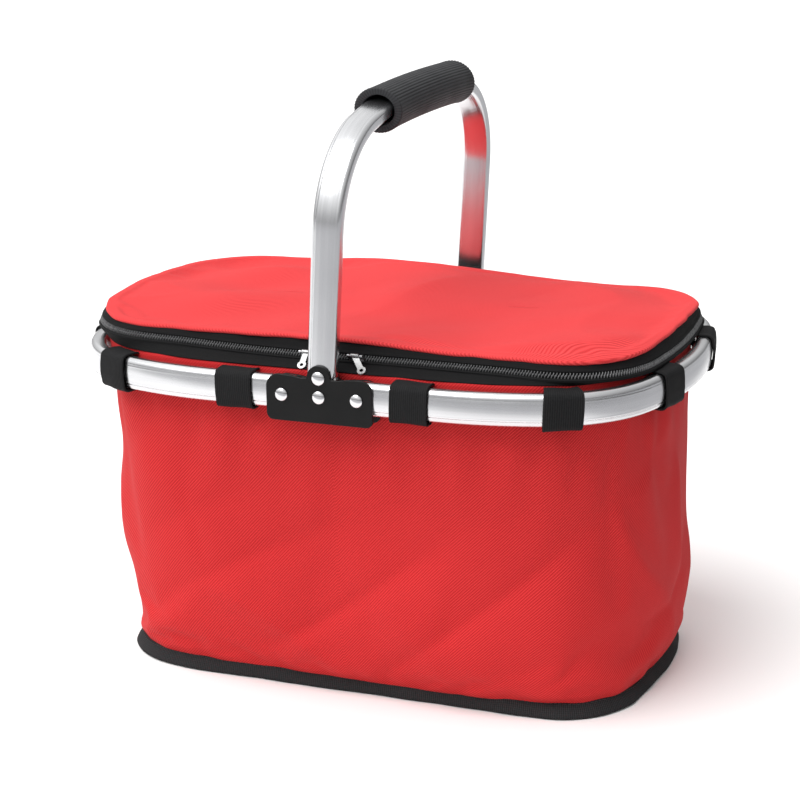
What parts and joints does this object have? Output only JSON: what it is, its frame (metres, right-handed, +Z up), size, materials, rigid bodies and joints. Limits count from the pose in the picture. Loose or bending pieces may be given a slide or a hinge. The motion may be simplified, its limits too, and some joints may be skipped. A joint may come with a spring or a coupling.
{
  "type": "insulated cooler basket",
  "caption": "Soft insulated basket on a folding aluminium ring, with a swinging arch handle, a foam grip and a zipped lid that folds back; it collapses flat.",
  "frame": {"origin": "centre of the bottom of the bounding box, on the surface that the basket stands on", "axes": "+X along the basket's length, -Y is the front with the zipper sliders, +Z up"},
  "size_m": [0.45, 0.3198, 0.4335],
  "materials": {
    "red_fabric": "woven polyester, matte",
    "lid_fabric": "woven polyester, matte",
    "black_webbing": "ribbed woven tape",
    "white_foam": "closed-cell foam sheet",
    "foil_lining": "silvered film, crinkled",
    "stiffener_board": "moulded sheet",
    "aluminium_tube": "drawn and satin, with fine lengthwise lines",
    "black_plate": "fine satin powder coat",
    "rivet_steel": "polished dome",
    "zipper_coil": "moulded nylon",
    "grip_foam": "ribbed foam",
    "slider_metal": "plated, slightly worn",
    "pull_metal": "dark plated"
  },
  "bodies": {
    "base": {"base_panel": "black_webbing", "base_foam": "white_foam", "base_board": "stiffener_board", "floor_lining": "foil_lining", "base_binding": "black_webbing", "body_shell": "red_fabric", "body_foam": "white_foam", "body_lining": "foil_lining"},
    "rim": {"ring_left": "aluminium_tube", "ring_right": "aluminium_tube", "plate_front_outer": "black_plate", "plate_front_inner": "black_plate", "plate_rear_outer": "black_plate", "plate_rear_inner": "black_plate", "ring_rivets_front": "rivet_steel", "ring_rivets_rear": "rivet_steel", "stop_rivet_front": "rivet_steel", "stop_rivet_rear": "rivet_steel", "pivot_rivet_front": "rivet_steel", "pivot_rivet_rear": "rivet_steel", "strap_front_left_outer": "black_webbing", "strap_front_left_inner": "black_webbing", "strap_front_right_inner": "black_webbing", "strap_front_right_outer": "black_webbing", "strap_rear_left_outer": "black_webbing", "strap_rear_left_inner": "black_webbing", "strap_rear_right_inner": "black_webbing", "strap_rear_right_outer": "black_webbing", "strap_end_left_front": "black_webbing", "strap_end_left_rear": "black_webbing", "strap_end_right_front": "black_webbing", "strap_end_right_rear": "black_webbing", "top_band": "red_fabric", "zipper_lower_tape": "black_webbing", "zipper_lower_coil": "zipper_coil", "zipper_upper_tape_rear": "black_webbing", "zipper_upper_coil_rear": "zipper_coil", "lid_cover_rear": "lid_fabric", "lid_foam_rear": "white_foam", "lid_lining_rear": "foil_lining"},
    "handle": {"handle_tube": "aluminium_tube", "handle_grip": "grip_foam"},
    "lid_flap": {"lid_cover_front": "lid_fabric", "lid_foam_front": "white_foam", "lid_lining_front": "foil_lining", "zipper_upper_tape_front": "black_webbing", "zipper_upper_coil_front": "zipper_coil"},
    "left_slider": {"slider_left": "slider_metal"},
    "left_pull": {"pull_left": "pull_metal"},
    "right_slider": {"slider_right": "slider_metal"},
    "right_pull": {"pull_right": "pull_metal"}
  },
  "joints": [
    {"name": "collapse", "type": "slide", "parent": "base", "child": "rim", "axis": [0, 0, -1], "range_m": [0, 0.14], "deforming": ["body_shell", "body_foam", "body_lining"]},
    {"name": "handle_fold", "type": "hinge", "parent": "rim", "child": "handle", "pos_m": [0, 0, 0.2473], "axis": [0, 1, 0], "range_deg": [-67, 60]},
    {"name": "lid_open", "type": "hinge", "parent": "rim", "child": "lid_flap", "pos_m": [0, 0, 0.269], "axis": [-1, 0, 0], "range_deg": [0, 180]},
    {"name": "left_zip", "type": "slide", "parent": "rim", "child": "left_slider", "axis": [-1, 0, 0], "range_m": [0, 0.095]},
    {"name": "right_zip", "type": "slide", "parent": "rim", "child": "right_slider", "axis": [1, 0, 0], "range_m": [0, 0.095]},
    {"name": "left_pull_swing", "type": "hinge", "parent": "left_slider", "child": "left_pull", "pos_m": [-0.02, -0.1306, 0.2575], "axis": [-1, 0, 0], "range_deg": [0, 125]},
    {"name": "right_pull_swing", "type": "hinge", "parent": "right_slider", "child": "right_pull", "pos_m": [0.016, -0.1306, 0.2575], "axis": [-1, 0, 0], "range_deg": [0, 125]}
  ]
}
